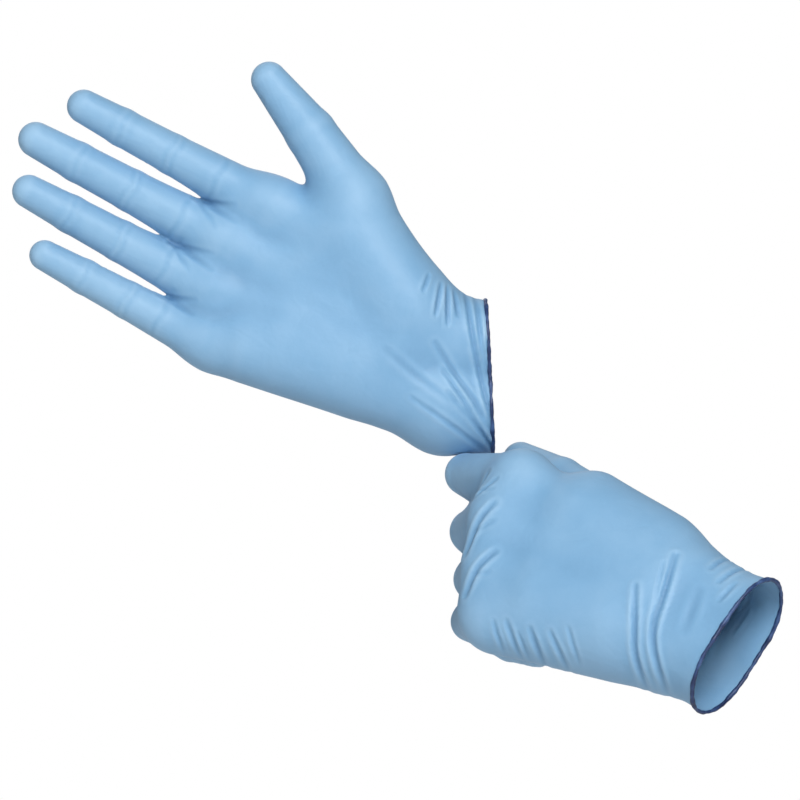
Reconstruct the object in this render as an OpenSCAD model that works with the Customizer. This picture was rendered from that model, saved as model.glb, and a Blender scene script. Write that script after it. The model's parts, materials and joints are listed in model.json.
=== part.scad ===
// A pair of thin dipped rubber gloves in millimetres, +Z up.
// The right glove is open, palm towards -Y, fingers towards -X. The left glove
// is closed to a fist whose thumb and index finger hold the lower corner of the
// right cuff. The origin is the centre of the right cuff's mouth.
// Each glove is one film, divided where it folds: a rolled bead, a cuff, a palm,
// and the sleeves of the thumb and fingers between one fold line and the next.

/* [Film] */
// Thickness of the rubber film
film_wall = 0.2; // [0.15:0.05:0.4]
// Gap left between two stretches of film that fold on each other
fold_gap = 0.4; // [0.3:0.05:0.8]
// Diameter of the rolled bead round each cuff mouth
bead_d = 1.4; // [0.8:0.1:2.4]

/* [Cuff] */
// Length of the cuff, from the wrist crease to the mouth
cuff_length = 20; // [16:0.5:60]
// Width of the cuff mouth, thumb side to little-finger side
mouth_width = 58; // [50:0.5:72]
// Depth of the cuff mouth, palm to back
mouth_depth = 42; // [36:0.5:54]
// Width of the glove at the wrist crease
wrist_width = 57; // [48:0.5:66]
// Depth of the glove at the wrist crease
wrist_depth = 39; // [32:0.5:46]
// How far the right cuff's lower corner is drawn out where it is held
corner_pull = 4; // [0:0.5:5]

/* [Palm] */
// Wrist crease to the middle finger's knuckle
palm_length = 98; // [80:1:120]
// Thickness of the hand at the middle of the palm
palm_thick = 32; // [26:0.5:38]
// Thickness of the hand at the finger roots
knuckle_thick = 22; // [21:0.5:26]

/* [Fingers] */
// Knuckle to middle joint, middle joint to end joint, end joint to tip centre
index_length = [45, 23, 17.5]; // [12:0.5:60]
// The same three lengths of the middle finger
middle_length = [47, 24.5, 19]; // [12:0.5:60]
// The same three lengths of the ring finger
ring_length = [45, 23, 19]; // [12:0.5:60]
// The same three lengths of the little finger
little_length = [39, 20, 18]; // [12:0.5:60]
// Radii of the index finger: knuckle, middle joint, end joint, tip
index_r = [10.5, 8.4, 7.8, 6.9]; // [5:0.1:13]
// Radii of the middle finger
middle_r = [10.5, 8.8, 8.2, 7.2]; // [5:0.1:13]
// Radii of the ring finger
ring_r = [10.2, 8.5, 7.8, 6.8]; // [5:0.1:13]
// Radii of the little finger
little_r = [9.6, 7.7, 7.1, 6.2]; // [5:0.1:13]
// Knuckle to the fold at the root of an open finger
root_fold = 24; // [20:0.5:26]

/* [Thumb] */
// Wrist joint to thumb knuckle, knuckle to end joint, end joint to tip centre
thumb_length = [50, 33, 27.5]; // [14:0.5:60]
// Radii of the thumb: ball of the thumb, knuckle, end joint, tip
thumb_r = [14, 12.6, 10.4, 7.4]; // [6:0.1:16]
// Thumb knuckle to the fold beside the thumb's web
thumb_fold = 13; // [10:0.5:16]

/* [Pose] */
// Rise of the right hand's fingers above level
right_rise = 28; // [0:1:45]
// Fall of the right cuff below level, towards the forearm
right_cuff_fall = 15; // [0:1:30]
// Wrist crease of the left glove
left_wrist = [75, -92, -94]; // [-150:1:150]
// Rise of the left fist's knuckles above level
left_rise = 24; // [10:1:35]
// Turn of the left fist away from the front
left_turn = 25; // [10:1:35]
// Roll of the left fist, back of the hand turned up
left_roll = 15; // [0:1:30]

/* [Hidden] */

film = [0.50, 0.71, 0.88];
film_light = [0.62, 0.80, 0.93];
film_deep = [0.38, 0.61, 0.80];
bead_blue = [0.16, 0.28, 0.50];

// Sides of a finger sleeve, of the palm and of the bead's own section
n_sleeve = 16;
n_palm = 16;
n_bead = 8;
n_mouth = 32;

function rx(a) = [[1, 0, 0], [0, cos(a), -sin(a)], [0, sin(a), cos(a)]];
function ry(a) = [[cos(a), 0, sin(a)], [0, 1, 0], [-sin(a), 0, cos(a)]];
function rz(a) = [[cos(a), -sin(a), 0], [sin(a), cos(a), 0], [0, 0, 1]];
function unit(v) = v / norm(v);
function mix(a, b, t) = a + (b - a) * t;

LENGTHS = [index_length, middle_length, ring_length, little_length];
RADII = [index_r, middle_r, ring_r, little_r];

// A hand's own frame: x towards the fingers, y towards the thumb, z out of the back.
// hand = [wrist crease, [x, y, z] directions, left-handed?, knuckles, rest bends,
//         spreads, rolls, thumb start, thumb frame, thumb bends, mouth centre, mouth y, mouth z]
RIGHT_X = [-cos(right_rise), 0, sin(right_rise)];
RIGHT_Y = [sin(right_rise), 0, cos(right_rise)];
RIGHT_AXES = [RIGHT_X, RIGHT_Y, [0, 1, 0]];
RIGHT_WRIST = [-cuff_length * cos(right_cuff_fall), 0, cuff_length * sin(right_cuff_fall)];

LEFT_X = [-cos(left_rise) * cos(left_turn), sin(left_turn), sin(left_rise) * cos(left_turn)];
LEFT_N0 = unit([0, -1, 0] + LEFT_X * LEFT_X[1]);
LEFT_R0 = cross(LEFT_X, LEFT_N0);
LEFT_AXES = [LEFT_X, LEFT_R0 * cos(left_roll) - LEFT_N0 * sin(left_roll),
    LEFT_N0 * cos(left_roll) + LEFT_R0 * sin(left_roll)];
LEFT_OUT = unit([0.61, -0.70, -0.38]);
LEFT_MOUTH_X = unit([-0.723, 0.574, 0.385]);
LEFT_MOUTH_Y = unit(LEFT_AXES[1] - LEFT_MOUTH_X * (LEFT_AXES[1] * LEFT_MOUTH_X));

// The knuckles stand side by side, each finger touching the next
function knuckle_y(i) = i == 0 ? 22 : knuckle_y(i - 1) - RADII[i - 1][0] - RADII[i][0];
RIGHT_KNUCKLES = [[palm_length - 6, knuckle_y(0), 0], [palm_length, knuckle_y(1), 1],
    [palm_length - 4, knuckle_y(2), 0], [palm_length - 12, knuckle_y(3), -2]];
// In a fist the knuckles crowd a little and step back towards the little finger
LEFT_KNUCKLES = [[palm_length - 6, knuckle_y(0) - 1, 0], [palm_length - 4, knuckle_y(1), 2],
    [palm_length - 11, knuckle_y(2) - 0.2, 0], [palm_length - 18, knuckle_y(3) + 0.4, -4]];

RIGHT = [RIGHT_WRIST, RIGHT_AXES, false, RIGHT_KNUCKLES,
    [[4, 3, 3], [4, 3, 3], [4, 3, 3], [4, 3, 3]], [0, 0, 0.5, 0.5], [0, 0, 0, 0],
    [21, 12, -4], rz(35) * rx(-90), [0, 7, 4],
    [0, 0, 0], unit([-0.05, 0, 1]), [0, 1, 0]];
LEFT = [left_wrist, LEFT_AXES, true, LEFT_KNUCKLES,
    [[45, 90, 40], [60, 95, 50], [66, 95, 50], [68, 90, 50]], [4, 1, 0, 0], [0, 0, 1, 2],
    [13.5, 9.8, -10.5], ry(14) * rz(20) * rx(-40), [0, 8, 6],
    left_wrist + LEFT_OUT * cuff_length, LEFT_MOUTH_Y, cross(LEFT_MOUTH_Y, LEFT_MOUTH_X)];

function world(h, p) = h[0] + p[0] * h[1][0] + p[1] * h[1][1] + p[2] * h[1][2];
function turned(h, v) = v[0] * h[1][0] + v[1] * h[1][1] + v[2] * h[1][2];

// Joints of a finger: [centre, frame] at the knuckle, middle joint, end joint and tip
function joints_of(base, M0, L, f) = let (
    M1 = M0 * ry(f[0]), M2 = M1 * ry(f[1]), M3 = M2 * ry(f[2]),
    P1 = base + M1 * [L[0], 0, 0], P2 = P1 + M2 * [L[1], 0, 0], P3 = P2 + M3 * [L[2], 0, 0])
    [[base, M1], [P1, M2], [P2, M3], [P3, M3]];
function finger(h, i) = joints_of(h[3][i], rz(h[5][i]) * rx(h[6][i]), LENGTHS[i], h[4][i]);
function thumb(h) = joints_of(h[7], h[8], thumb_length, h[9]);

// Bend limits at each fold, as [least, most] total bend: root, middle joint, end joint.
// An open finger bends from its rest; a closed one opens and tightens a little.
ROOT_RANGE = [0, 50];
MID_RANGE = [0, 84];
END_RANGE = [0, 56];
FIST_OPEN = [24, 48, 32];
FIST_SHUT = [0, 0, 0];
WRIST_BEND = 15;
THUMB_ROOT = [-10, 22];
THUMB_END = [-4, 46];
function root_range(h, i) = h[2] ? [h[4][i][0] - FIST_OPEN[0], h[4][i][0] + FIST_SHUT[0] + 2] : [-2, ROOT_RANGE[1] + 2];
function mid_range(h, i) = h[2] ? [h[4][i][1] - FIST_OPEN[1], h[4][i][1] + FIST_SHUT[1] + 2] : [0, MID_RANGE[1] + 6];
function end_range(h, i) = h[2] ? [h[4][i][2] - FIST_OPEN[2], h[4][i][2] + FIST_SHUT[2] + 2] : [0, END_RANGE[1] + 6];

// Slope of the two wrist edges, which fold both ways
wrist_slope = tan(WRIST_BEND / 2 + 1);
// Slope of an end that is cut back for folding: more on the palm side, less on the back
function slope(f, z) = z < 0 ? tan(f[1] / 2) : tan(f[0] / 2);

// One ring of a sleeve: t runs along the sleeve, s is the distance from the joint
function ring(h, P, M, a, b, fa, fb, t, r, n) = [for (k = [0 : n - 1]) let (
    c = 360 * k / n, y = r * cos(c), z = r * sin(c),
    x0 = a - z * slope(fa, z), x1 = b + z * slope(fb, z))
    world(h, P + M * [mix(x0, x1, t), y, z])];

function side_faces(n, a, b, flip) = [for (k = [0 : n - 1]) let (
    p = a + k, q = a + (k + 1) % n, u = b + k, v = b + (k + 1) % n)
    each (flip ? [[p, q, v], [p, v, u]] : [[p, v, q], [p, u, v]])];
function fan_faces(n, a, tip, flip) = [for (k = [0 : n - 1]) let (
    p = a + k, q = a + (k + 1) % n) flip ? [p, q, tip] : [p, tip, q]];

// Stack of rings as a thin shell; closed by a point at each wall when capped
module shell(outer, inner, n, flip, capped = false) {
    m = len(outer);
    pts = concat([for (r = outer) each r], [for (r = inner) each r]);
    o = m * n;
    if (capped) {
        // the last entry of each stack is the tip point alone
        m1 = m - 1;
        pts2 = concat([for (j = [0 : m1 - 1]) each outer[j]], [outer[m1]],
            [for (j = [0 : m1 - 1]) each inner[j]], [inner[m1]]);
        o2 = m1 * n + 1;
        polyhedron(pts2, concat(
            [for (j = [0 : m1 - 2]) each side_faces(n, j * n, (j + 1) * n, flip)],
            fan_faces(n, (m1 - 1) * n, m1 * n, flip),
            [for (j = [0 : m1 - 2]) each side_faces(n, o2 + j * n, o2 + (j + 1) * n, !flip)],
            fan_faces(n, o2 + (m1 - 1) * n, o2 + m1 * n, !flip),
            side_faces(n, o2, 0, flip)), convexity = 4);
    } else
        polyhedron(pts, concat(
            [for (j = [0 : m - 2]) each side_faces(n, j * n, (j + 1) * n, flip)],
            [for (j = [0 : m - 2]) each side_faces(n, o + j * n, o + (j + 1) * n, !flip)],
            side_faces(n, o, 0, flip),
            side_faces(n, (m - 1) * n, o + (m - 1) * n, flip)), convexity = 4);
}

// A sleeve between two folds
module sleeve(h, J, a, b, ra, rb, fa, fb) {
    function stack(w) = [for (t = [0, 0.5, 1])
        ring(h, J[0], J[1], a + fold_gap / 2, b - fold_gap / 2, fa, fb, t, mix(ra, rb, t) - w, n_sleeve)];
    shell(stack(0), stack(film_wall), n_sleeve, h[2]);
}

// The closed end of a finger
module sleeve_tip(h, J, b, ra, rb, fa) {
    function stack(w) = concat(
        [for (t = [0, 0.5, 1]) ring(h, J[0], J[1], fold_gap / 2, b, fa, [0, 0], t, mix(ra, rb, t) - w, n_sleeve)],
        [for (q = [30, 55, 75]) [for (k = [0 : n_sleeve - 1]) let (c = 360 * k / n_sleeve, r = rb - w)
            world(h, J[0] + J[1] * [b + r * sin(q), r * cos(q) * cos(c), r * cos(q) * sin(c)])]],
        [world(h, J[0] + J[1] * [b + rb - w, 0, 0])]);
    shell(stack(0), stack(film_wall), n_sleeve, h[2], true);
}

// Distance from the joint before it to the root fold of finger i
function root_s(h) = h[2] ? 0 : root_fold;
function root_r(h, i) = mix(RADII[i][0], RADII[i][1], root_s(h) / LENGTHS[i][0]);

module finger_proximal(h, i) {
    J = finger(h, i);
    sleeve(h, J[0], root_s(h), LENGTHS[i][0], root_r(h, i) - 0.35, RADII[i][1],
        root_range(h, i), mid_range(h, i));
}
module finger_middle(h, i) {
    J = finger(h, i);
    sleeve(h, J[1], 0, LENGTHS[i][1], RADII[i][1], RADII[i][2], mid_range(h, i), end_range(h, i));
}
module finger_tip(h, i) {
    J = finger(h, i);
    sleeve_tip(h, J[2], LENGTHS[i][2], RADII[i][2], RADII[i][3], end_range(h, i));
}

thumb_fold_r = mix(thumb_r[1], thumb_r[2], thumb_fold / thumb_length[1]);
module thumb_proximal(h) {
    J = thumb(h);
    sleeve(h, J[1], thumb_fold, thumb_length[1], thumb_fold_r, thumb_r[2], THUMB_ROOT, THUMB_END);
}
module thumb_tip(h) {
    J = thumb(h);
    sleeve_tip(h, J[2], thumb_length[2], thumb_r[2], thumb_r[3], THUMB_END);
}

// Convex solid through two rings of n points
module span(A, B, n, flip) {
    hull() polyhedron(concat(A, B), concat(side_faces(n, 0, n, flip),
        [[for (k = [0 : n - 1]) flip ? n - 1 - k : k]], [[for (k = [0 : n - 1]) flip ? n + k : 2 * n - 1 - k]]));
}

// Palm sections: [x, little-finger edge, thumb edge, middle height, half thickness]
function edge_a(h) = h[3][3][1] - RADII[3][0] + 1.2;
function edge_b(h) = h[3][0][1] + RADII[0][0] - 0.4;
function palm_sections(h) = let (a = edge_a(h), b = edge_b(h), L = palm_length, w = wrist_width / 2) [
    [fold_gap / 2, -w - 2.5, w - 2.5, 0, wrist_depth / 2],
    [L * 0.22, mix(-w - 2.5, a, 0.45), mix(w - 2.5, b, 0.25), -1, mix(wrist_depth, palm_thick, 0.4) / 2],
    [L * 0.46, mix(-w - 2.5, a, 0.75), b + 1, -1.5, palm_thick / 2],
    [L * 0.62, a + 0.4, b + 3, -1, palm_thick / 2 - 0.5]];
function squash(c, e) = sign(c) * pow(abs(c), e);
function palm_ring(h, s, w, lean = 0) = [for (k = [0 : n_palm - 1]) let (c = 360 * k / n_palm,
    y = mix(s[1], s[2], 0.5) + ((s[2] - s[1]) / 2 - w) * squash(cos(c), 0.75),
    z = s[3] + (s[4] - w) * squash(sin(c), 0.85)) world(h, [s[0] + lean * abs(z), y, z])];

// Far edge of the palm at height y across the hand: it runs from finger root to finger root
function root_point(h, i) = let (J = finger(h, i)) J[0][0] + J[0][1] * [root_s(h), 0, 0];
function along(v, y, pts, i = 0) = i == len(pts) - 2 || y > pts[i + 1][0] ?
    mix(pts[i][1], pts[i + 1][1], max(-0.6, min(1.4, (pts[i][0] - y) / (pts[i][0] - pts[i + 1][0]))))
    : along(v, y, pts, i + 1);
function far_x(h, y) = along(0, y, [for (i = [0 : 3]) let (p = root_point(h, i)) [p[1], p[0]]]);
function far_z(h, y) = along(0, y, [for (i = [0 : 3]) let (p = root_point(h, i)) [p[1], p[2]]]);
function far_least(h, y) = along(0, y, [for (i = [0 : 3]) [root_point(h, i)[1], root_range(h, i)[0]]]);
function far_most(h, y) = along(0, y, [for (i = [0 : 3]) [root_point(h, i)[1], root_range(h, i)[1]]]);
function far_ring(h, w) = [for (k = [0 : n_palm - 1]) let (c = 360 * k / n_palm, a = edge_a(h), b = edge_b(h),
    y = (a + b) / 2 + ((b - a) / 2 - w) * squash(cos(c), 0.75),
    dz = (knuckle_thick / 2 - w) * squash(sin(c), 0.6))
    world(h, [far_x(h, y) - fold_gap / 2 - (h[2] ? 0.3 : 0) - w + dz * slope([far_least(h, y), far_most(h, y)], dz), y, far_z(h, y) + dz])];

// Section that runs level with the finger roots, a little behind them
function near_ring(h, w) = [for (k = [0 : n_palm - 1]) let (c = 360 * k / n_palm, a = edge_a(h), b = edge_b(h),
    y = (a + b) / 2 + ((b - a) / 2 - w) * squash(cos(c), 0.75),
    z = (mix(palm_thick, knuckle_thick, 0.6) / 2 - w) * squash(sin(c), 0.7))
    world(h, [far_x(h, y) - 12, y, mix(-1, far_z(h, y), 0.6) + z])];

module palm_body(h, w) {
    S = palm_sections(h);
    for (j = [0 : len(S) - 2])
        span(palm_ring(h, S[j] - (j == 0 ? [w * 5, 0, 0, 0, 0] : [0, 0, 0, 0, 0]), w, j == 0 ? wrist_slope : 0),
            palm_ring(h, S[j + 1], w), n_palm, h[2]);
    span(palm_ring(h, S[len(S) - 1], w), near_ring(h, w), n_palm, h[2]);
    span(near_ring(h, w), far_ring(h, w), n_palm, h[2]);
    T = thumb(h);
    r0 = thumb_r[0] - w;
    r1 = thumb_r[1] + 0.9 - w;
    c0 = ring(h, T[0][0], T[0][1], 3, 8, [0, 0], [0, 0], 0, r0 - 6, n_palm);
    c1 = ring(h, T[0][0], T[0][1], thumb_length[0] * 0.55, 0, [0, 0], [0, 0], 0, r0, n_palm);
    c2 = ring(h, T[0][0], T[0][1], thumb_length[0], 0, [0, 0], [0, 0], 0, r1, n_palm);
    c3 = ring(h, T[1][0], T[1][1], 0, thumb_fold - fold_gap / 2 + w * 5, [0, 0], THUMB_ROOT, 1, thumb_fold_r - w, n_palm);
    span(c0, c1, n_palm, h[2]);
    span(c1, c2, n_palm, h[2]);
    span(c2, c3, n_palm, h[2]);
}
// Way through the palm's far edge into each finger
module finger_ways(h) {
    for (i = [0 : 3]) {
        J = finger(h, i);
        s = root_s(h);
        r = min(root_r(h, i) - 0.35, knuckle_thick / 2) - film_wall;
        bend = h[2] ? h[4][i][0] / 2 : 0;
        M = J[0][1] * ry(-bend);
        P = J[0][0] + J[0][1] * [s, 0, 0];
        span(ring(h, P, M, -6, 0, [0, 0], [0, 0], 0, r * 0.86, n_sleeve),
            ring(h, P, M, 8, 0, [0, 0], [0, 0], 0, r * 0.86, n_sleeve), n_sleeve, h[2]);
    }
}
// Room beyond the far edge in which each finger's sleeve turns
module finger_room(h) {
    for (i = [0 : 3]) {
        J = finger(h, i);
        M = J[0][1] * ry(h[2] ? -h[4][i][0] : 0);
        P = J[0][0] + J[0][1] * [root_s(h), 0, 0];
        r = root_r(h, i) + 0.9;
        span(ring(h, P, M, 0, -fold_gap / 2, [0, 0], root_range(h, i), 1, r, n_sleeve),
            ring(h, P, M, 0, 14, [0, 0], [0, 0], 1, r, n_sleeve), n_sleeve, h[2]);
    }
}
module palm(h) {
    difference() {
        palm_body(h, 0);
        palm_body(h, film_wall);
        finger_ways(h);
        finger_room(h);
    }
}

// Rings of the cuff: the wrist crease and the mouth, the lower corner drawn out at the right
function mouth_ring(h, w, pull, out) = [for (k = [0 : n_mouth - 1]) let (c = 360 * k / n_mouth,
    low = pow(max(0, -cos(c)), 14),
    y = -1.5 + (mouth_width / 2 - w) * cos(c) - pull * low,
    z = (mouth_depth / 2 - w) * sin(c) * (1 - 0.25 * low),
    X = unit(cross(h[11], h[12])) * (h[2] ? -1 : 1))
    h[10] + y * h[11] + z * h[12] - X * (out + 0.45 * pull * low)];
function wrist_ring(h, w) = [for (k = [0 : n_mouth - 1]) let (c = 360 * k / n_mouth,
    y = -2.5 + (wrist_width / 2 - w) * squash(cos(c), 0.8),
    z = (wrist_depth / 2 - w) * squash(sin(c), 0.85))
    world(h, [-fold_gap / 2 - wrist_slope * abs(z), y, z])];
function between(A, B, t) = [for (k = [0 : len(A) - 1]) mix(A[k], B[k], t)];
module cuff(h, pull) {
    function stack(w) = let (A = wrist_ring(h, w), B = mouth_ring(h, w, pull, -bead_d / 2 - 0.02))
        [for (t = [1, 0.66, 0.33, 0]) between(A, B, t)];
    shell(stack(0), stack(film_wall), n_mouth, h[2]);
}
module cuff_bead(h, pull) {
    C = mouth_ring(h, film_wall / 2, pull, 0);
    n = n_mouth;
    rings = [for (k = [0 : n - 1]) let (t = unit(C[(k + 1) % n] - C[(k + n - 1) % n]),
        u = unit(cross(t, h[1][0])), v = cross(t, u))
        [for (j = [0 : n_bead - 1]) C[k] + bead_d / 2 * (cos(360 * j / n_bead + 22.5) * u + sin(360 * j / n_bead + 22.5) * v)]];
    polyhedron([for (r = rings) each r],
        [for (k = [0 : n - 1]) for (j = [0 : n_bead - 1]) let (
            p = k * n_bead + j, q = k * n_bead + (j + 1) % n_bead,
            u = ((k + 1) % n) * n_bead + j, v = ((k + 1) % n) * n_bead + (j + 1) % n_bead)
            each [[p, v, q], [p, u, v]]], convexity = 6);
}

module right_cuff_bead() { color(bead_blue) cuff_bead(RIGHT, corner_pull); }
module right_cuff() { color(film) cuff(RIGHT, corner_pull); }
module right_palm() { color(film) palm(RIGHT); }
module right_thumb_proximal() { color(film_light) thumb_proximal(RIGHT); }
module right_thumb_tip() { color(film_light) thumb_tip(RIGHT); }
module right_index_proximal() { color(film) finger_proximal(RIGHT, 0); }
module right_index_middle() { color(film_light) finger_middle(RIGHT, 0); }
module right_index_tip() { color(film_light) finger_tip(RIGHT, 0); }
module right_middle_proximal() { color(film) finger_proximal(RIGHT, 1); }
module right_middle_middle() { color(film_light) finger_middle(RIGHT, 1); }
module right_middle_tip() { color(film_light) finger_tip(RIGHT, 1); }
module right_ring_proximal() { color(film) finger_proximal(RIGHT, 2); }
module right_ring_middle() { color(film_light) finger_middle(RIGHT, 2); }
module right_ring_tip() { color(film) finger_tip(RIGHT, 2); }
module right_little_proximal() { color(film_deep) finger_proximal(RIGHT, 3); }
module right_little_middle() { color(film) finger_middle(RIGHT, 3); }
module right_little_tip() { color(film) finger_tip(RIGHT, 3); }

module left_cuff_bead() { color(bead_blue) cuff_bead(LEFT, 0); }
module left_cuff() { color(film_light) cuff(LEFT, 0); }
module left_palm() { color(film_light) palm(LEFT); }
module left_thumb_proximal() { color(film_light) thumb_proximal(LEFT); }
module left_thumb_tip() { color(film) thumb_tip(LEFT); }
module left_index_proximal() { color(film) finger_proximal(LEFT, 0); }
module left_index_middle() { color(film_deep) finger_middle(LEFT, 0); }
module left_index_tip() { color(film_deep) finger_tip(LEFT, 0); }
module left_middle_proximal() { color(film) finger_proximal(LEFT, 1); }
module left_middle_middle() { color(film_deep) finger_middle(LEFT, 1); }
module left_middle_tip() { color(film_deep) finger_tip(LEFT, 1); }
module left_ring_proximal() { color(film) finger_proximal(LEFT, 2); }
module left_ring_middle() { color(film_deep) finger_middle(LEFT, 2); }
module left_ring_tip() { color(film_deep) finger_tip(LEFT, 2); }
module left_little_proximal() { color(film_deep) finger_proximal(LEFT, 3); }
module left_little_middle() { color(film_deep) finger_middle(LEFT, 3); }
module left_little_tip() { color(film_deep) finger_tip(LEFT, 3); }

right_cuff_bead();
right_cuff();
right_palm();
right_thumb_proximal();
right_thumb_tip();
right_index_proximal();
right_index_middle();
right_index_tip();
right_middle_proximal();
right_middle_middle();
right_middle_tip();
right_ring_proximal();
right_ring_middle();
right_ring_tip();
right_little_proximal();
right_little_middle();
right_little_tip();
left_cuff_bead();
left_cuff();
left_palm();
left_thumb_proximal();
left_thumb_tip();
left_index_proximal();
left_index_middle();
left_index_tip();
left_middle_proximal();
left_middle_middle();
left_middle_tip();
left_ring_proximal();
left_ring_middle();
left_ring_tip();
left_little_proximal();
left_little_middle();
left_little_tip();
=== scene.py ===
import bpy, json
import numpy as np
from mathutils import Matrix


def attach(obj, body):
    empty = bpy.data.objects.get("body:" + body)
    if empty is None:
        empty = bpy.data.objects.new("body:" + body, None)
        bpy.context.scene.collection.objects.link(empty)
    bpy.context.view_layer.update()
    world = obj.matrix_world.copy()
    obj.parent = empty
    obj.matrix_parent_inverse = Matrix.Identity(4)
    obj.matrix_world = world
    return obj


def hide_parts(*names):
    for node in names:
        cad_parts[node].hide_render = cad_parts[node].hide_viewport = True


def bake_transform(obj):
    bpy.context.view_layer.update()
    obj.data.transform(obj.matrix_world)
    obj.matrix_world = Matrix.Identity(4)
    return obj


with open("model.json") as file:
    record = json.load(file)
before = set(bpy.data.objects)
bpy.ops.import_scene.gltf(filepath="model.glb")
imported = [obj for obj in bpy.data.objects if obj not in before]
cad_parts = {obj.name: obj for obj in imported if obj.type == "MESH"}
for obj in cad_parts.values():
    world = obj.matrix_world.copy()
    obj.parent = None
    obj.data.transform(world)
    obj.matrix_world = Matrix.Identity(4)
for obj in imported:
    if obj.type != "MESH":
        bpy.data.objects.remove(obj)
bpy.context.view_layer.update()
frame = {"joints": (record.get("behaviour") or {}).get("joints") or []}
import openvdb
from mathutils import Vector

# --- Camera and studio -------------------------------------------------------------------------
# The gloves hang in front of a plain pale floor, seen level and from the front, a metre away.
# A large soft lamp above and in front gives the broad satin highlights; a weaker one fills the side.
cam = bpy.data.objects.new("camera", bpy.data.cameras.new("camera"))
bpy.context.scene.collection.objects.link(cam)
cam.location = (-0.0369, -1.0, -0.0115)
cam.rotation_euler = (np.pi / 2, 0, 0)
cam.data.lens = 109.8
cam.data.sensor_width = 36
bpy.context.scene.camera = cam
bpy.context.scene.view_settings.view_transform = "Standard"


def lamp(name, place, aim, size, watts):
    """A square area lamp at place that shines towards aim."""
    light = bpy.data.lights.new(name, "AREA")
    light.shape, light.size, light.energy = "SQUARE", size, watts
    ob = bpy.data.objects.new(name, light)
    ob.location = place
    ob.rotation_euler = (Vector(aim) - Vector(place)).to_track_quat("-Z", "Y").to_euler()
    bpy.context.scene.collection.objects.link(ob)


lamp("key_lamp", (0.25, -1.25, 0.75), (-0.03, 0, -0.01), 0.6, 18.5)
lamp("fill_lamp", (-0.9, -1.1, 0.25), (0.0, 0, -0.03), 0.7, 4.0)
lamp("rim_lamp", (-0.2, 0.9, 0.7), (-0.03, 0, 0), 0.8, 2.0)


class Socket:
    """A shader socket that arithmetic works on: each operator adds one Math node."""

    def __init__(self, tree, out):
        self.tree, self.out = tree, out

    def node(self, kind, values=(), **settings):
        """A node of this kind: settings first, then values or links by socket name or place."""
        n = self.tree.nodes.new(kind)
        for k, v in settings.items():
            if k == "stops":
                while len(n.color_ramp.elements) < len(v):
                    n.color_ramp.elements.new(0.5)
                for e, (at, colour) in zip(n.color_ramp.elements, v):
                    e.position, e.color = at, (*colour, 1)
            else:
                setattr(n, k, v)
        for k, v in dict(values).items():
            if isinstance(v, Socket):
                self.tree.links.new(v.out, n.inputs[k])
            else:
                n.inputs[k].default_value = v
        return n

    def read(self, kind, out, values=(), **settings):
        return Socket(self.tree, self.node(kind, values, **settings).outputs[out])

    def maths(self, operation, a, b):
        return self.read("ShaderNodeMath", 0, {0: a, 1: b}, operation=operation)

    def __add__(self, o): return self.maths("ADD", self, o)
    def __radd__(self, o): return self.maths("ADD", o, self)
    def __sub__(self, o): return self.maths("SUBTRACT", self, o)
    def __rsub__(self, o): return self.maths("SUBTRACT", o, self)
    def __mul__(self, o): return self.maths("MULTIPLY", self, o)
    def __rmul__(self, o): return self.maths("MULTIPLY", o, self)
    def __pow__(self, o): return self.maths("POWER", self, o)

    def blend(self, other, fac):
        """This colour mixed towards other by fac."""
        return self.read("ShaderNodeMix", 2, {0: fac, 6: self, 7: other}, data_type="RGBA")


def fresh(name):
    """A new material with an empty tree, its first socket and its shader."""
    m = bpy.data.materials.new(name)
    m.use_nodes = True
    t = m.node_tree
    shader = t.nodes["Principled BSDF"]
    return m, Socket(t, None), shader


floor_material, s, shader = fresh("pale_floor")
shader.inputs["Base Color"].default_value = (0.86, 0.86, 0.86, 1)
shader.inputs["Roughness"].default_value = 0.9
seen = s.read("ShaderNodeLightPath", "Is Camera Ray")
glow = s.read("ShaderNodeEmission", 0, {"Color": (1, 1, 1, 1), "Strength": 1.0})
both = s.node("ShaderNodeMixShader", {0: seen, 1: Socket(s.tree, shader.outputs[0]), 2: glow})
s.tree.links.new(both.outputs[0], s.tree.nodes["Material Output"].inputs[0])
floor_mesh = bpy.data.meshes.new("floor")
floor_mesh.from_pydata([(-4, -4, -0.34), (4, -4, -0.34), (4, 4, -0.34), (-4, 4, -0.34)], [], [(0, 1, 2, 3)])
floor = bpy.data.objects.new("floor", floor_mesh)
floor_mesh.materials.append(floor_material)
bpy.context.scene.collection.objects.link(floor)

world = bpy.data.worlds.new("studio")
bpy.context.scene.world = world
world.use_nodes = True
t = world.node_tree
s = Socket(t, None)
path = s.node("ShaderNodeLightPath")
seen = s.maths("MAXIMUM", Socket(t, path.outputs["Is Camera Ray"]), Socket(t, path.outputs["Is Transmission Ray"]))
t.links.new((0.18 + 0.82 * seen).out, t.nodes["Background"].inputs["Strength"])
t.nodes["Background"].inputs["Color"].default_value = (1, 1, 1, 1)

# --- Right glove: the film ---------------------------------------------------------------------
# One thin film of nitrile rubber, dipped on a hand-shaped former, 0.2 mm thick and satin. The hand
# inside stretches it smooth over the palm and leaves soft folds at the joints, webs and cuff.
joint = {j["name"]: np.array(j["pos_m"]) * 1000 for j in frame["joints"] if "pos_m" in j}
turning = {j["name"]: np.array(j["axis"]) for j in frame["joints"] if "pos_m" in j}


def unit(v):
    return np.asarray(v, float) / np.linalg.norm(v)


def turned(v, axis, degrees):
    """v turned about axis by the right-hand rule: along cos + across sin + the part on the axis."""
    a, t = unit(axis), np.radians(degrees)
    return v * np.cos(t) + np.cross(a, v) * np.sin(t) + a * (a @ v) * (1 - np.cos(t))


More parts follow.
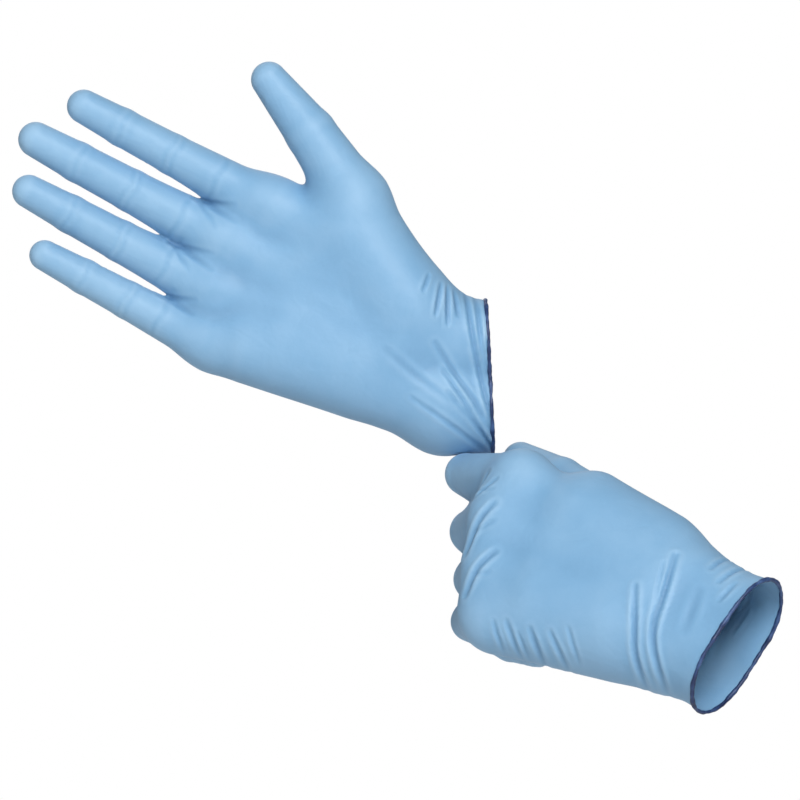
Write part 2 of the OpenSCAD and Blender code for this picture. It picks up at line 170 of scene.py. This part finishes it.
class Hand:
    """A hand's own frame in millimetres: x to the fingers, y to the thumb, z out of the back."""

    def __init__(self, side, wrist, x, y, z, mouth, mouth_out, mouth_up):
        self.side, self.wrist, self.axes = side, np.array(wrist, float), np.array([x, y, z], float)
        self.mouth, self.out = np.array(mouth, float), unit(mouth_out)
        self.up = unit(np.array(mouth_up) - self.out * (self.out @ np.array(mouth_up)))

    def at(self, x, y, z):
        return self.wrist + np.array([x, y, z], float) @ self.axes

    def local(self, p):
        return (p - self.wrist) @ self.axes.T


rise = np.radians(28)
right = Hand("right", joint["right_wrist_bend"], (-np.cos(rise), 0, np.sin(rise)), (np.sin(rise), 0, np.cos(rise)),
             (0, 1, 0), (0, 0, 0), (1, 0, 0.05), (-0.05, 0, 1))
FINGERS = ("index", "middle", "ring", "little")
GIRTH = {"index": (10.5, 8.4, 7.8, 6.9), "middle": (10.5, 8.8, 8.2, 7.2), "ring": (10.2, 8.5, 7.8, 6.8),
         "little": (9.6, 7.7, 7.1, 6.2)}
END = {"index": 17.5, "middle": 19, "ring": 19, "little": 18}
THUMB_END = 27.5
THUMB_ROOT = 13


def bones(hand, name, end_bend, root_to_knuckle):
    """Knuckle, root fold, middle joint, end joint and tip centre of a finger, in millimetres."""
    r, m, e = (joint[f"{hand.side}_{name}_{k}_bend"] for k in ("root", "middle", "end"))
    tip = e + turned(unit(e - m), turning[f"{hand.side}_{name}_end_bend"], end_bend) * END[name]
    return [r - unit(m - r) * root_to_knuckle, r, m, e, tip]


def cone(p, a, b, ra, rb):
    """Distance from points p to a rod from a to b whose radius runs evenly from ra to rb."""
    d = b - a
    t = np.clip((p - a) @ d / (d @ d), 0, 1)
    return np.linalg.norm(p - a - t[:, None] * d, axis=1) - (ra + (rb - ra) * t)


def soft(a, b, k):
    """The lesser of two distances, with the corner between them rounded over a width k."""
    h = np.maximum(k - np.abs(a - b), 0) / k
    return np.minimum(a, b) - h * h * k / 4


def finger_distance(p, hand, name, chain):
    """The proximal length, and the two outer lengths joined softly at the joints."""
    k, r, m, e, t = chain
    g = GIRTH[name]
    base = cone(p, k, m, g[0], g[1])
    outer = soft(cone(p, m, e, g[1], g[2]), cone(p, e, t, g[2], g[3]), 1.2)
    return base, outer


def glove_distance(p, hand, shape):
    """The whole skin: palm bones and the balls of the thumb and little finger, then fingers, thumb and forearm."""
    d = None
    for a, b, ra, rb in shape["palm"]:
        c = cone(p, hand.at(*a), hand.at(*b), ra, rb)
        d = c if d is None else soft(d, c, shape["palm_soft"])
    for a, b, ra, rb in shape["cuff"]:
        d = soft(d, cone(p, a, b, ra, rb), shape["cuff_soft"])
    tb, tk, tf, te, tt = shape["thumb"]
    d = soft(d, cone(p, tb, tk, shape["thumb_r"][0], shape["thumb_r"][1]), 12)
    d = soft(d, cone(p, tk, te, shape["thumb_r"][1], 10.4), 7)
    bases, outers = [], []
    for name in FINGERS:
        base, outer = finger_distance(p, hand, name, shape["fingers"][name])
        bases.append(base), outers.append(outer)
    root = bases[0]
    for b in bases[1:]:
        root = soft(root, b, shape["between"])
    d = soft(d, root, shape["root_soft"])
    tips = outers[0]
    for o in outers[1:]:
        tips = soft(tips, o, 1.0)
    d = soft(d, tips, 1.0)
    return soft(d, cone(p, te, tt, 10.4, 7.4), 1.2)


def film_points(hand, shape, low, high, step):
    """The zero level of the distance on a grid, as points and faces, then drawn on to the true level."""
    n = np.ceil((high - low) / step).astype(int)
    axes = [low[i] + np.arange(n[i]) * step for i in range(3)]
    field = np.empty(n, np.float32)
    yy, zz = np.meshgrid(axes[1], axes[2], indexing="ij")
    for i in range(0, n[0], 12):
        xs = axes[0][i:i + 12]
        p = np.stack([np.repeat(xs, yy.size), np.tile(yy.ravel(), len(xs)), np.tile(zz.ravel(), len(xs))], 1)
        field[i:i + 12] = glove_distance(p, hand, shape).reshape(len(xs), n[1], n[2])
    grid = openvdb.FloatGrid(20.0)
    grid.copyFromArray(field)
    points, quads = grid.convertToQuads(isovalue=0.0)
    points = points * step + low
    for _ in range(2):
        points = points - slope_of(points, hand, shape)[1]
    return points, np.asarray(quads, np.int64)


def slope_of(p, hand, shape, h=0.25):
    """Outward direction of the distance at p, and the step that brings p to its zero level."""
    d = glove_distance(p, hand, shape)
    rise = [glove_distance(p + h * e, hand, shape) - glove_distance(p - h * e, hand, shape) for e in np.eye(3)]
    g = np.stack(rise, 1) / (2 * h)
    size = np.maximum(np.linalg.norm(g, axis=1, keepdims=True), 0.3)
    return g / size, (d[:, None] / size) * (g / size)


def fold(q, way, width, depth, ridge=0.45):
    """A furrow along a way of x, y places on the hand: a dip with a low ridge each side, fading at its ends."""
    way = np.array(way, float)
    for _ in range(2):
        cut = np.stack([way[:-1] * 0.75 + way[1:] * 0.25, way[:-1] * 0.25 + way[1:] * 0.75], 1).reshape(-1, 2)
        way = np.concatenate([way[:1], cut[1:-1], way[-1:]]) if len(way) > 2 else way
    run = np.concatenate([[0], np.cumsum(np.linalg.norm(np.diff(way, axis=0), axis=1))])
    r, along = np.full(len(q), np.inf), np.zeros(len(q))
    for a, b, start in zip(way[:-1], way[1:], run):
        t = np.clip((q[:, :2] - a) @ (b - a) / ((b - a) @ (b - a)), 0, 1)
        near = np.linalg.norm(q[:, :2] - a - t[:, None] * (b - a), axis=1)
        along = np.where(near < r, start + t * np.linalg.norm(b - a), along)
        r = np.minimum(near, r)
    fade = np.sin(np.pi * np.clip(along / run[-1] * 0.84 + 0.08, 0, 1)) ** 0.6
    return depth * fade * (ridge * np.exp(-((r - 1.8 * width) / (0.8 * width)) ** 2) - np.exp(-(r / width) ** 2))


def facing(normals, way):
    """One where the film faces the way, less where it turns from it, and 0.5 on the far side."""
    f = normals @ way
    return np.where(f > 0, np.clip(0.35 + f * 1.2, 0, 1), 0.5 * np.clip(0.35 - f, 0, 1))


def joint_folds(p, hand, chain, palm_side, depth, twin):
    """Furrows across the inside of each finger joint, two close ones at the middle joint."""
    total = np.zeros(len(p))
    k, r, m, e, t = chain
    for c, before, after, offsets in ((r, k, m, (0,)), (m, r, e, (-twin, twin)), (e, m, t, (0,))):
        along = unit(unit(c - before) + unit(after - c))
        q = p - c
        s = q @ along
        side = np.clip(q @ palm_side / 7.0, 0, 1)
        near = np.exp(-(np.maximum(np.linalg.norm(q - s[:, None] * along, axis=1) - 12, 0) / 2) ** 2)
        for o in offsets:
            bent = s - o - 0.5 * np.sin(q @ np.cross(along, palm_side) * 0.45 + c[0])
            lip = 0.15 * np.exp(-(np.abs(bent) - 2.0) ** 2)
            total += depth * near * side * (lip - np.exp(-(bent / 0.75) ** 2))
    return total


def ripple(q, scale, seed):
    """Smooth uneven swell: a sum of nine slow waves in set directions."""
    rng = np.random.default_rng(seed)
    total = np.zeros(len(q))
    for _ in range(9):
        w = rng.normal(size=3)
        w = w / np.linalg.norm(w) * rng.uniform(0.6, 1.6) / scale
        total += np.sin(q @ w * 2 * np.pi + rng.uniform(0, 6.28))
    return total / 4.2


def right_folds(p, normals, hand, shape):
    """Long folds drawn to the held corner of the cuff, short ones at its top and at the webs, and the joints."""
    q = hand.local(p)
    h = np.zeros(len(p))
    for way, width, depth in (
            (((21, 27), (20, 20)), 0.72, 0.73), (((15, 26), (13, 20), (11, 14)), 0.8, 0.84),
            (((12, 26), (5, 13)), 0.8, 0.84),
            (((9, 26), (3, 18)), 0.72, 0.63), (((4, 27), (-10, 8), (-27, -11), (-33, -19)), 0.88, 1.0),
            (((0, 28), (-12, 10), (-24, -5)), 0.8, 0.84), (((-4, 29), (-11, 17), (-19, 3)), 0.72, 0.73),
            (((-6, 29), (-15, 10)), 0.7, 0.53), (((6, 4), (-6, -3), (-19, -9), (-34, -20)), 1.04, 0.63),
            (((-2, -4), (-10, -8), (-33, -22)), 0.88, 0.73), (((-8, -11), (-18, -15), (-33, -22)), 0.8, 0.63),
            (((4, -20), (-14, -22), (-32, -25)), 0.96, 0.47), (((22, -8), (4, -12), (-12, -14)), 1.44, 0.32)):
        h += fold(q, way, width, depth)
    for x, y, ways in ((121, 10.6, ((-17, 5), (-20, -1), (-14, -7))), (121, -10.2, ((-18, 4), (-21, -2), (-13, -7))),
                       (115, -31, ((-15, 5), (-17, -1)))):
        for dx, dy in ways:
            h += fold(q, ((x, y), (x + dx * 0.5, y + dy * 0.3), (x + dx, y + dy)), 0.9, 0.3)
    h *= facing(normals, -hand.axes[2])
    for name in FINGERS:
        h += joint_folds(p, hand, shape["fingers"][name], -hand.axes[2], 0.3, 1.5)
    return h + 0.16 * ripple(q, 42, 3) * np.clip((100 - q[:, 0]) / 60, 0, 1)


# The film ends this many millimetres inside the mouth's plane, within the bead.
BEAD_INSET = 0.7


def cut_at_mouth(points, faces, hand):
    """The film beyond the cuff's mouth is dropped: points past the mouth slide back on to its plane."""
    s = (points - hand.mouth) @ hand.out + BEAD_INSET
    reach = np.linalg.norm(points - hand.mouth, axis=1) < 60
    past = (s > 0) & reach
    keep = ~np.all(past[faces], axis=1)
    points = points - np.where(past, s, 0)[:, None] * hand.out
    faces = faces[keep]
    used, faces = np.unique(faces, return_inverse=True)
    return points[used], faces.reshape(-1, 4)


def corner_normals(points, faces):
    """Vertex directions: the mean of the faces round each vertex."""
    n = np.cross(points[faces[:, 2]] - points[faces[:, 0]], points[faces[:, 3]] - points[faces[:, 1]])
    total = np.zeros_like(points)
    for k in range(4):
        np.add.at(total, faces[:, k], n)
    return total / np.maximum(np.linalg.norm(total, axis=1, keepdims=True), 1e-12)


def film_piece(name, points, faces, normals, stretch, material, wall=0.2):
    """A piece of film: its outer skin, and its inner skin a wall's thickness inside."""
    used, local = np.unique(faces, return_inverse=True)
    local = local.reshape(-1, 4)
    p, n = points[used], normals[used]
    co = np.concatenate([p, p - n * wall]) * 0.001
    quads = np.concatenate([local, local[:, ::-1] + len(p)])
    mesh = bpy.data.meshes.new(name)
    mesh.vertices.add(len(co))
    mesh.vertices.foreach_set("co", co.astype(np.float32).ravel())
    mesh.loops.add(quads.size)
    mesh.loops.foreach_set("vertex_index", quads.astype(np.int32).ravel())
    mesh.polygons.add(len(quads))
    mesh.polygons.foreach_set("loop_start", (np.arange(len(quads)) * 4).astype(np.int32))
    mesh.update(calc_edges=True)
    mesh.validate()
    # Tone attribute for the colour: paler on ridges, partly tight film and partly painted highlight; darker in furrows
    # as painted shade.
    stretch_and_painted_light_attribute = mesh.attributes.new("stretch", "FLOAT", "POINT")
    stretch_and_painted_light_attribute.data.foreach_set("value", np.tile(stretch[used], 2).astype(np.float32))
    mesh.materials.append(material)
    mesh.shade_smooth()
    mesh.normals_split_custom_set_from_vertices(np.concatenate([n, -n]))
    ob = bpy.data.objects.new(name, mesh)
    bpy.context.scene.collection.objects.link(ob)
    return ob


def film_material(name, light, mid, furrow_painted_shade):
    """Satin nitrile: paler on ridges and knuckles, partly as thin stretched film and partly as painted highlight, with
    painted shade deepening the furrows, and a fine skin-like grain.
    """
    m, s, shader = fresh(name)
    stretch = s.read("ShaderNodeAttribute", "Fac", attribute_name="stretch")
    place = s.read("ShaderNodeTexCoord", "Object")
    cloud = s.read("ShaderNodeTexNoise", "Fac", {"Vector": place, "Scale": 38.0, "Detail": 3.0, "Roughness": 0.5})
    speck = s.read("ShaderNodeTexNoise", "Fac", {"Vector": place, "Scale": 900.0, "Detail": 2.0})
    tone = stretch + (cloud - 0.5) * 0.35 + (speck - 0.5) * 0.05
    # The ramp paints shade into the furrows with the darkest colour, and gives ridges a paler colour that is partly
    # stretched film and partly painted highlight.
    colour = s.read("ShaderNodeValToRGB", 0, {0: tone}, stops=[(0.0, furrow_painted_shade), (0.5, mid), (1.0, light)])
    s.tree.links.new(colour.out, shader.inputs["Base Color"])
    s.tree.links.new((0.40 + 0.16 * cloud + 0.08 * speck).out, shader.inputs["Roughness"])
    grain = s.read("ShaderNodeTexNoise", "Fac", {"Vector": place, "Scale": 420.0, "Detail": 4.0, "Roughness": 0.6})
    wave = s.read("ShaderNodeTexNoise", "Fac", {"Vector": place, "Scale": 70.0, "Detail": 2.0, "Distortion": 0.8})
    bump = s.read("ShaderNodeBump", 0, {"Height": wave * 0.75 + grain * 0.12, "Distance": 0.0012, "Strength": 0.5})
    s.tree.links.new(bump.out, shader.inputs["Normal"])
    shader.inputs["Specular IOR Level"].default_value = 0.42
    shader.inputs["Sheen Weight"].default_value = 0.08
    return m


def assign(points, faces, hand, shape):
    """Which piece each face belongs to: cuff, palm, or a stretch of finger or thumb round one fold."""
    c = points[faces].mean(1)
    tb, tk, tf, te, tt = shape["thumb"]
    d_thumb = np.minimum(cone(c, tk, te, shape["thumb_r"][1], 10.4), cone(c, te, tt, 10.4, 7.4))
    d_palm = np.min([cone(c, hand.at(*a), hand.at(*b), ra, rb) for a, b, ra, rb in shape["palm"]], 0)
    label = np.zeros(len(c), int)
    best, seg, frac = [], [], []
    for name in FINGERS:
        k, r, m, e, t = shape["fingers"][name]
        g = GIRTH[name]
        ds = np.stack([cone(c, r, m, g[0], g[1]), cone(c, m, e, g[1], g[2]), cone(c, e, t, g[2], g[3])])
        i = ds.argmin(0)
        best.append(ds.min(0)), seg.append(i)
        f = np.stack([(c - a) @ (b - a) / ((b - a) @ (b - a)) for a, b in ((r, m), (m, e), (e, t))])
        frac.append(np.take_along_axis(f, i[None], 0)[0])
    best, seg, frac = map(np.array, (best, seg, frac))
    who = best.argmin(0)
    seg, frac = seg[who, np.arange(len(c))], frac[who, np.arange(len(c))]
    for i, name in enumerate(FINGERS):
        start, end = shape["folds"][(name, "root")]
        past = ((c - start) @ (end - start)) > -1.0
        mine = (who == i) & past
        near = np.linalg.norm(c - shape["fingers"][name][1], axis=1) < 26
        beyond = mine & ((seg > 0) | (best[i] < d_palm + 4) | near)
        label[beyond] = 10 + i * 3
        label[beyond & ((seg == 0) & (frac > 0.52) | (seg == 1))] = 11 + i * 3
        label[beyond & ((seg == 1) & (frac > 0.52) | (seg == 2))] = 12 + i * 3
    past = (c - shape["folds"][("thumb", "root")][0]) @ unit(te - tk) > -1.0
    thumb = (d_thumb < best.min(0)) & past & (d_thumb < 6)
    label[thumb] = 30
    t2 = (c - tf) @ (te - tf) / ((te - tf) @ (te - tf))
    label[thumb & (t2 > 0.5)] = 31
    label[(label == 0) & (hand.local(c)[:, 0] < 14)] = 1
    return label


def fold_span(hand, shape):
    """Start and end of the bend at each fold: a few millimetres each side of the hinge, along the film."""
    spans = {}
    for name in FINGERS:
        k, r, m, e, t = shape["fingers"][name]
        before, after = shape["reach"]
        back, near, far = (unit(m - r), 1.0, 9.5) if hand.side == "right" else (hand.axes[0], 4.0, 4.0)
        spans[(name, "root")] = (r - back * near, r + unit(m - r) * far)
        spans[(name, "middle")] = (m - unit(m - r) * before, m + unit(e - m) * after)
        spans[(name, "end")] = (e - unit(e - m) * before, e + unit(t - e) * after)
    tb, tk, tf, te, tt = shape["thumb"]
    spans[("thumb", "root")] = (tf - unit(te - tk) * 4.5, tf + unit(te - tk) * 4.5)
    spans[("thumb", "end")] = (te - unit(te - tk) * before, te + unit(tt - te) * after)
    return spans


def dress(hand, points, faces, normals, stretch, shape, material):
    """Cuts the film into its pieces and hides the part each stands for; only the palm's piece is attached to a body,
    the others stay where they are.
    """
    label = assign(points, faces, hand, shape)
    side = hand.side

    def piece(key, name, a, b, span, node):
        chosen = faces[label == key]
        if not len(chosen):
            raise RuntimeError(name + " has no faces")
        ob = film_piece(name, points, chosen, normals, stretch, material)
        if a is None:
            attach(ob, b)
        else:
            tuple(span[0] * 0.001)
            tuple(span[1] * 0.001)
            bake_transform(ob)
        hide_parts(node)

    palm, folds = side + "_palm", shape["folds"]
    for i, name in enumerate(FINGERS):
        f = f"{side}_{name}"
        root, middle, tip = f + "_proximal", f + "_middle", f + "_tip"
        piece(10 + i * 3, f + "_root_film", palm, root, folds[(name, "root")], root)
        piece(11 + i * 3, f + "_middle_film", root, middle, folds[(name, "middle")], middle)
        piece(12 + i * 3, f + "_tip_film", middle, tip, folds[(name, "end")], tip)
    root, tip = side + "_thumb_proximal", side + "_thumb_tip"
    piece(30, side + "_thumb_root_film", palm, root, folds[("thumb", "root")], root)
    piece(31, side + "_thumb_tip_film", root, tip, folds[("thumb", "end")], tip)
    piece(0, palm + "_film", None, palm, None, palm)
    wrist = (hand.at(-7, 0, 0), hand.at(9, 0, 0))
    if side == "right":
        piece(1, "right_cuff_film", "right_cuff", palm, wrist, "right_cuff")
    else:
        piece(1, "left_cuff_film", palm, "left_cuff", wrist[::-1], "left_cuff")


# Colours: pale ridges, partly painted highlight; the film's blue; dark furrows as painted shade.
right_blue = film_material("right_film", (0.35, 0.55, 0.74), (0.19, 0.385, 0.60), (0.07, 0.185, 0.35))
knuckle_back = 24.0
thumb_root, thumb_end = joint["right_thumb_root_bend"], joint["right_thumb_end_bend"]
thumb_way = unit(thumb_end - thumb_root)
thumb_knuckle = thumb_root - thumb_way * THUMB_ROOT
right_shape = {
    "palm": [((4, 7, 0), (62, 17, 0), 17, 14.5), ((-2, -12, 0), (60, -20, 0), 18, 15),
             ((-6, -17, -1), (72, -33, -3), 17, 13.5), ((20, 10, 0), (94, 21, 0), 17, 11.5),
             ((20, 0, 0), (100, 1, 0.5), 18, 12), ((20, -8, 0), (96, -19, 0), 18, 11.8),
             ((30, -20, -1), (88, -37, -2), 16, 11), ((26, 14, -6), (58, 27, -5), 13.5, 12.5),
             ((60, 27, -4), (86, 24, -2), 10, 9)],
    "palm_soft": 9.0,
    "cuff": [(right.at(6, 7, 0), right.mouth + right.up * 9 + right.out * 12, 16.5, 18.5),
             (right.at(-11, -18.6, 0), right.mouth - right.up * 13.5 + right.out * 12, 17.5, 17)], "cuff_soft": 8,
    "thumb": [right.at(21, 12, -4), thumb_knuckle, thumb_root, thumb_end,
              thumb_end + turned(thumb_way, turning["right_thumb_end_bend"], 4) * THUMB_END],
    "thumb_r": (14, 12.8),
    "fingers": {n: bones(right, n, 3, knuckle_back) for n in FINGERS},
    "between": 4.0, "root_soft": 8.0, "reach": (7.0, 7.0)}
right_shape["folds"] = fold_span(right, right_shape)

grain_step = 0.8
points, faces = film_points(right, right_shape, np.array([-205.0, -30, -42]), np.array([24.0, 30, 138]), grain_step)
normals = slope_of(points, right, right_shape)[0]
height = right_folds(points, normals, right, right_shape)
points = points + normals * height[:, None]
q = points - np.array([2.0, 0, -31.0])
pull = np.exp(-(np.linalg.norm(q * [0.8, 0.9, 1.0], axis=1) / 9.0) ** 2)
points = points + pull[:, None] * np.array([2.4, 0, -1.6])
points[:, 1] *= 1 - 0.35 * pull
points, faces = cut_at_mouth(points, faces, right)
normals = corner_normals(points, faces)


def stretch_and_painted_light_of(points, normals, faces):
    """Colour tone from how far each point stands above the mean of its neighbours, spread a little: high on ridges and
    knuckles, partly as tight film and partly as painted highlight, and low in furrows as painted shade.
    """
    def spread(v, times):
        for _ in range(times):
            total, count = np.zeros(len(v)), np.zeros(len(v))
            face_mean = v[faces].mean(1)
            for k in range(4):
                np.add.at(total, faces[:, k], face_mean)
                np.add.at(count, faces[:, k], 1)
            v = total / np.maximum(count, 1)
        return v
    smooth = np.stack([spread(points[:, i].copy(), 5) for i in range(3)], 1)
    rise = ((points - smooth) * normals).sum(1)
    return np.clip(0.52 + spread(rise, 3) * 1.44, 0, 1)


# Film tone: painted shade in the furrows, and paler ridges that are partly painted highlight.
stretch = stretch_and_painted_light_of(points, normals, faces)
dress(right, points, faces, normals, stretch, right_shape, right_blue)

# --- Cuff beads --------------------------------------------------------------------------------
# Each cuff ends in a bead: the film's own edge, rolled on itself while wet, about 1.4 mm thick,
# uneven, and coloured darker than the film, partly as thicker rubber and partly as painted shade. It runs round the
# mouth and follows the film's edge.
bead_blue_and_painted_shade, s, shader = fresh("bead")
place = s.read("ShaderNodeTexCoord", "Object")
cloud = s.read("ShaderNodeTexNoise", "Fac", {"Vector": place, "Scale": 160.0, "Detail": 3.0})
# Near-black navy: the thick rolled rubber's own deeper blue with painted shade added.
colour = s.read("ShaderNodeValToRGB", 0, {0: cloud}, stops=[
    (0.3, (0.008, 0.018, 0.07)), (0.5, (0.018, 0.045, 0.14)), (0.72, (0.07, 0.14, 0.32))])
s.tree.links.new(colour.out, shader.inputs["Base Color"])
s.tree.links.new((0.34 + 0.2 * cloud).out, shader.inputs["Roughness"])
twist = s.read("ShaderNodeTexNoise", "Fac", {"Vector": place, "Scale": 300.0, "Detail": 3.0})
bump = s.read("ShaderNodeBump", 0, {"Height": twist, "Distance": 0.0006, "Strength": 0.6})
s.tree.links.new(bump.out, shader.inputs["Normal"])


def bead(hand, points, faces, body, node):
    """A rolled tube along the film's free edge: a circle carried round the mouth, its radius and place wavering."""
    edge = np.abs((points - hand.mouth) @ hand.out + BEAD_INSET) < 0.02
    loop = points[edge & (np.linalg.norm(points - hand.mouth, axis=1) < 60)]
    side = np.cross(hand.out, hand.up)
    a = np.arctan2((loop - hand.mouth) @ side, (loop - hand.mouth) @ hand.up)
    r = np.linalg.norm(loop - hand.mouth - ((loop - hand.mouth) @ hand.out)[:, None] * hand.out, axis=1)
    order = np.argsort(a)
    n, m = 220, 10
    u = np.arange(n) * 2 * np.pi / n - np.pi
    radius = np.interp(u, a[order], r[order], period=2 * np.pi)
    radius = (np.roll(radius, 1) + radius + np.roll(radius, -1)) / 3
    waver = 0.16 * np.sin(7 * u + 1) + 0.12 * np.sin(13 * u + 2) + 0.1 * np.sin(23 * u)
    spoke = np.cos(u)[:, None] * hand.up + np.sin(u)[:, None] * side
    centre = hand.mouth + hand.out * (-0.6 + 0.4 * waver[:, None]) + radius[:, None] * spoke
    thick = 0.78 + 0.1 * np.sin(5 * u) + 0.09 * np.sin(17 * u + 1) + 0.06 * np.sin(41 * u)
    v = np.arange(m) * 2 * np.pi / m
    across = np.cos(v)[None, :, None] * spoke[:, None] + np.sin(v)[None, :, None] * hand.out
    ring = centre[:, None] + thick[:, None, None] * across
    i, k = np.meshgrid(np.arange(n), np.arange(m), indexing="ij")
    j, l = (i + 1) % n, (k + 1) % m
    quads = np.stack([i * m + k, j * m + k, j * m + l, i * m + l], -1).reshape(-1, 4)
    mesh = bpy.data.meshes.new(node + "_roll")
    mesh.from_pydata((ring.reshape(-1, 3) * 0.001).tolist(), [], quads.tolist())
    mesh.materials.append(bead_blue_and_painted_shade)
    mesh.shade_smooth()
    ob = bpy.data.objects.new(node + "_roll", mesh)
    bpy.context.scene.collection.objects.link(ob)
    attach(ob, body)
    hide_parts(node)


bead(right, points, faces, "right_cuff", "right_cuff_bead")

# --- Left glove --------------------------------------------------------------------------------
# The mirror film on a closed fist, back of the hand to the front. The thumb lies along the side of
# the index finger and holds the right cuff's corner; the wrist has two long folds across it.
up, turn, roll = np.radians(24), np.radians(25), np.radians(15)
x = np.array([-np.cos(up) * np.cos(turn), np.sin(turn), np.sin(up) * np.cos(turn)])
n0 = unit(np.array([0, -1, 0]) + x * x[1])
r0 = np.cross(x, n0)
lm_x = unit([-0.723, 0.574, 0.385])
y, z = r0 * np.cos(roll) - n0 * np.sin(roll), n0 * np.cos(roll) + r0 * np.sin(roll)
forearm = unit([0.61, -0.70, -0.38])
left = Hand("left", joint["left_wrist_bend"], x, y, z, joint["left_wrist_bend"] + forearm * 20, -lm_x, y)
thumb_root, thumb_end = joint["left_thumb_root_bend"], joint["left_thumb_end_bend"]
thumb_way = unit(thumb_end - thumb_root)
thumb_knuckle = thumb_root - thumb_way * THUMB_ROOT
# The tight film draws the fist together: each finger's joints sit a few millimetres in from the sleeves'.
nudge = {"index": ((1, 0, 0), (1, 0, 0), (-2.5, 0, 0), (-2, 0, 0), (-2, 0, 0)),
         "middle": ((5, 0, 1), (5, 0, 1), (3.5, 0, 0), (2, 0, 0), (2, 0, 0)),
         "ring": ((6, 0, 3), (6, 0, 3), (4, 0, 4), (2, 0, 4), (2, 0, 4)),
         "little": ((6, 0, 6), (6, 0, 6), (2.5, 0, 7), (1, 0, 8), (0, 0, 9))}
rest_end = {"index": 40, "middle": 50, "ring": 50, "little": 50}
left_shape = {
    "palm": [((2, 7, 0), (60, 16, 0), 16.5, 15), ((2, -8, 0), (58, -18, 0), 17.5, 15.5),
             ((10, -14, -3), (64, -26, -5), 16.5, 13.5), ((20, 10, 0), (88, 19, -0.5), 17, 11),
             ((20, 0, 0), (87, 0, 1.5), 18, 11), ((20, -8, 0), (80, -18, 0), 18, 10.7),
             ((30, -16, -1), (72, -33, -4), 16, 10.5), ((28, 20, -3), (60, 27, -4), 13.5, 11)],
    "palm_soft": 10.0,
    "cuff": [(left.at(4, 6, 0), left.mouth + left.up * 9 + left.out * 12, 16.5, 20.5),
             (left.at(4, -9, 0), left.mouth - left.up * 9 + left.out * 12, 17.5, 20.5)], "cuff_soft": 8,
    "thumb": [left.at(13.5, 9.8, -10.5), thumb_knuckle, thumb_root, thumb_end,
              thumb_end + turned(thumb_way, turning["left_thumb_end_bend"], 6) * THUMB_END],
    "thumb_r": (15, 12.8),
    "fingers": {n: list(np.array(bones(left, n, rest_end[n], 0.0)) + np.array(nudge[n], float)) for n in FINGERS},
    "between": 9.0, "root_soft": 12.0, "reach": (3.5, 3.5)}
left_shape["folds"] = fold_span(left, left_shape)


def left_folds(p, normals, hand, shape):
    """Two long folds across the wrist, short ones at the cuff, and creases between the knuckles and along the edge."""
    q = hand.local(p)
    h = np.zeros(len(p))
    for way, width, depth in (
            (((22, -3), (15, -17), (12, -25), (4, -34)), 1.04, 0.95),
            (((15, 15), (11, -1), (9, -14), (5, -22), (-3, -31)), 1.12, 1.05),
            (((17, 10), (13, -3), (10, -14)), 0.8, 0.53), (((0, 25), (1, 16)), 0.8, 0.73),
            (((-8, 25), (-5, 12)), 0.96, 0.73),
            (((-11, 14), (-9, 5)), 0.88, 0.53), (((0, 6), (-3, -10)), 1.76, 0.32),
            (((103, 0), (103, 9), (102, 17)), 1.2, 0.84), (((101, 4), (95, 15)), 0.8, 0.53),
            (((102, 8), (94, 10)), 0.72, 0.32),
            (((92, -17), (93, -6), (90, 5)), 1.2, 0.95), (((92, -8), (86, -1)), 0.72, 0.37),
            (((84, -31), (84, -21), (80, -12)), 1.2, 0.95), (((84, -23), (78, -20)), 0.72, 0.37),
            (((63, -34), (54, -43)), 0.96, 0.63), (((53, -33), (44, -42)), 1.04, 0.73),
            (((45, -31), (34, -40)), 0.88, 0.63),
            (((39, -27), (32, -35)), 0.8, 0.42), (((68, -36), (62, -43)), 0.8, 0.53),
            (((57, -36), (51, -42)), 0.72, 0.42)):
        h += fold(q, way, width, depth)
    h *= facing(normals, hand.axes[2])
    return h + 0.2 * ripple(q, 38, 5) * np.clip((90 - q[:, 0]) / 50, 0.15, 1)


# Colours: pale ridges, partly painted highlight; the film's blue; dark furrows as painted shade.
left_blue = film_material("left_film", (0.35, 0.55, 0.74), (0.19, 0.385, 0.60), (0.07, 0.185, 0.35))
points, faces = film_points(left, left_shape, np.array([-34.0, -150, -160]), np.array([118.0, 26, -18]), grain_step)
normals = slope_of(points, left, left_shape)[0]
points = points + normals * left_folds(points, normals, left, left_shape)[:, None]
points, faces = cut_at_mouth(points, faces, left)
normals = corner_normals(points, faces)
# Film tone: painted shade in the furrows, and paler ridges that are partly painted highlight.
stretch = stretch_and_painted_light_of(points, normals, faces)
dress(left, points, faces, normals, stretch, left_shape, left_blue)
bead(left, points, faces, "left_cuff", "left_cuff_bead")
